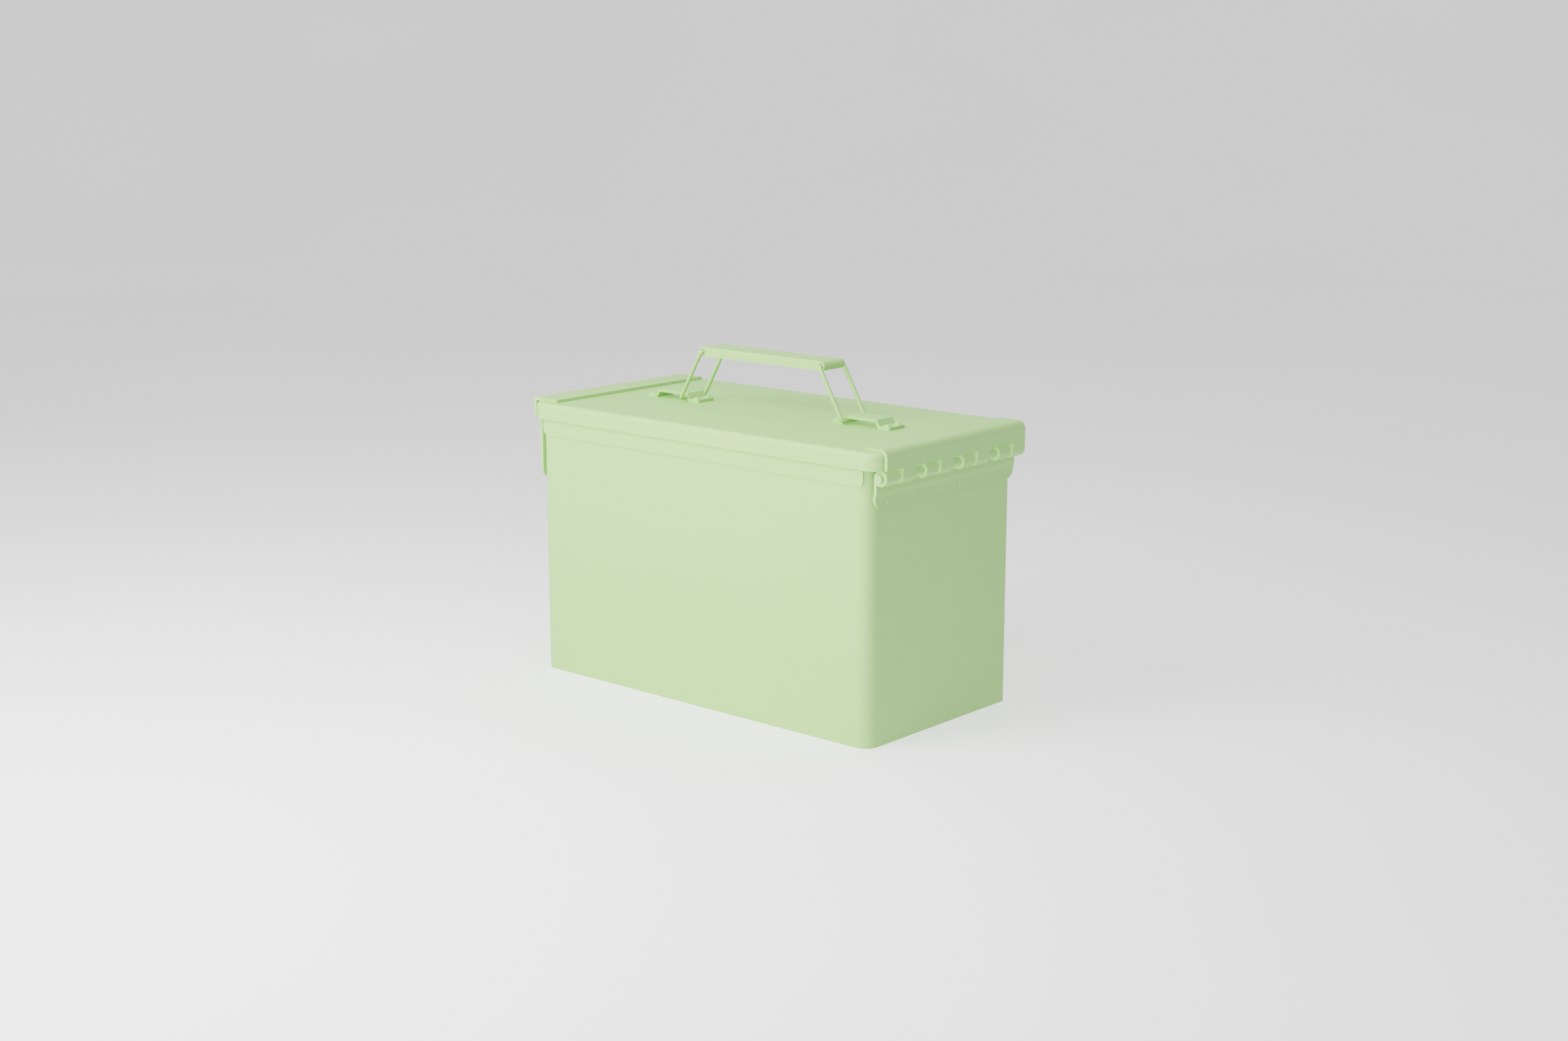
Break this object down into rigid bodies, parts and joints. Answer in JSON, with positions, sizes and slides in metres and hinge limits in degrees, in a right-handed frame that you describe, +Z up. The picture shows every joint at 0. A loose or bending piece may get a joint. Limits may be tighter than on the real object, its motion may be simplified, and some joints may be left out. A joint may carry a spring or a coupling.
{
  "type": "hinged latching steel storage box",
  "caption": "Pressed-steel storage box with a hinged lid, an over-centre latch at one end and a folding carry handle on the lid.",
  "frame": {"origin": "middle of the body's footprint, on the ground", "axes": "+Z up, +X towards the hinge end, +Y across the width"},
  "size_m": [0.3172, 0.1504, 0.2199],
  "materials": {
    "body": "matt pale green paint",
    "plates": "matt pale green paint",
    "pins": "matt pale green paint",
    "latch": "matt pale green paint",
    "lid": "matt pale green paint",
    "gasket": "matt black",
    "handle": "matt pale green paint",
    "rivets": "matt pale green paint",
    "wire": "matt pale green paint"
  },
  "bodies": {
    "can": {"body_shell": "body", "body_bottom": "body", "hinge_leaf_body": "plates", "hinge_pin": "pins", "latch_plate_body": "plates", "latch_catch": "latch"},
    "lid": {"lid_shell": "lid", "lid_gasket": "gasket", "hinge_leaf_lid": "plates", "latch_plate_lid": "plates", "latch_pin": "pins", "handle_bracket_left": "handle", "handle_bracket_right": "handle", "bracket_rivets_left": "rivets", "bracket_rivets_right": "rivets"},
    "latch_link": {"latch_link": "latch", "latch_link_pin": "pins"},
    "latch_lever": {"latch_lever": "latch"},
    "grip": {"handle_grip": "handle"},
    "loop_left": {"handle_loop_left": "wire"},
    "loop_right": {"handle_loop_right": "wire"}
  },
  "joints": [
    {"name": "lid_hinge", "type": "hinge", "parent": "can", "child": "lid", "pos_m": [0.1466, 0, 0.1662], "axis": [0, 1, 0], "range_deg": [0, 135]},
    {"name": "latch_link_swing", "type": "hinge", "parent": "lid", "child": "latch_link", "pos_m": [-0.1512, 0, 0.1672], "axis": [0, 1, 0], "range_deg": [0, 40]},
    {"name": "latch_lever_swing", "type": "hinge", "parent": "latch_link", "child": "latch_lever", "pos_m": [-0.1512, 0, 0.1415], "axis": [0, 1, 0], "range_deg": [0, 62]},
    {"name": "handle_drop", "type": "slide", "parent": "lid", "child": "grip", "axis": [0, 0, -1], "range_m": [0, 0.0144]},
    {"name": "loop_left_fold", "type": "hinge", "parent": "grip", "child": "loop_left", "pos_m": [-0.0507, 0, 0.2169], "axis": [0, 1, 0], "range_deg": [0, 31.2]},
    {"name": "loop_right_fold", "type": "hinge", "parent": "grip", "child": "loop_right", "pos_m": [0.0507, 0, 0.2169], "axis": [0, -1, 0], "range_deg": [0, 31.2]}
  ],
  "couplings": [
    {"joint": "latch_lever_swing", "follows": "latch_link_swing", "ratio": 1.545},
    {"joint": "loop_left_fold", "follows": "handle_drop", "rad_per_m": 37.69},
    {"joint": "loop_right_fold", "follows": "handle_drop", "rad_per_m": 37.69}
  ]
}
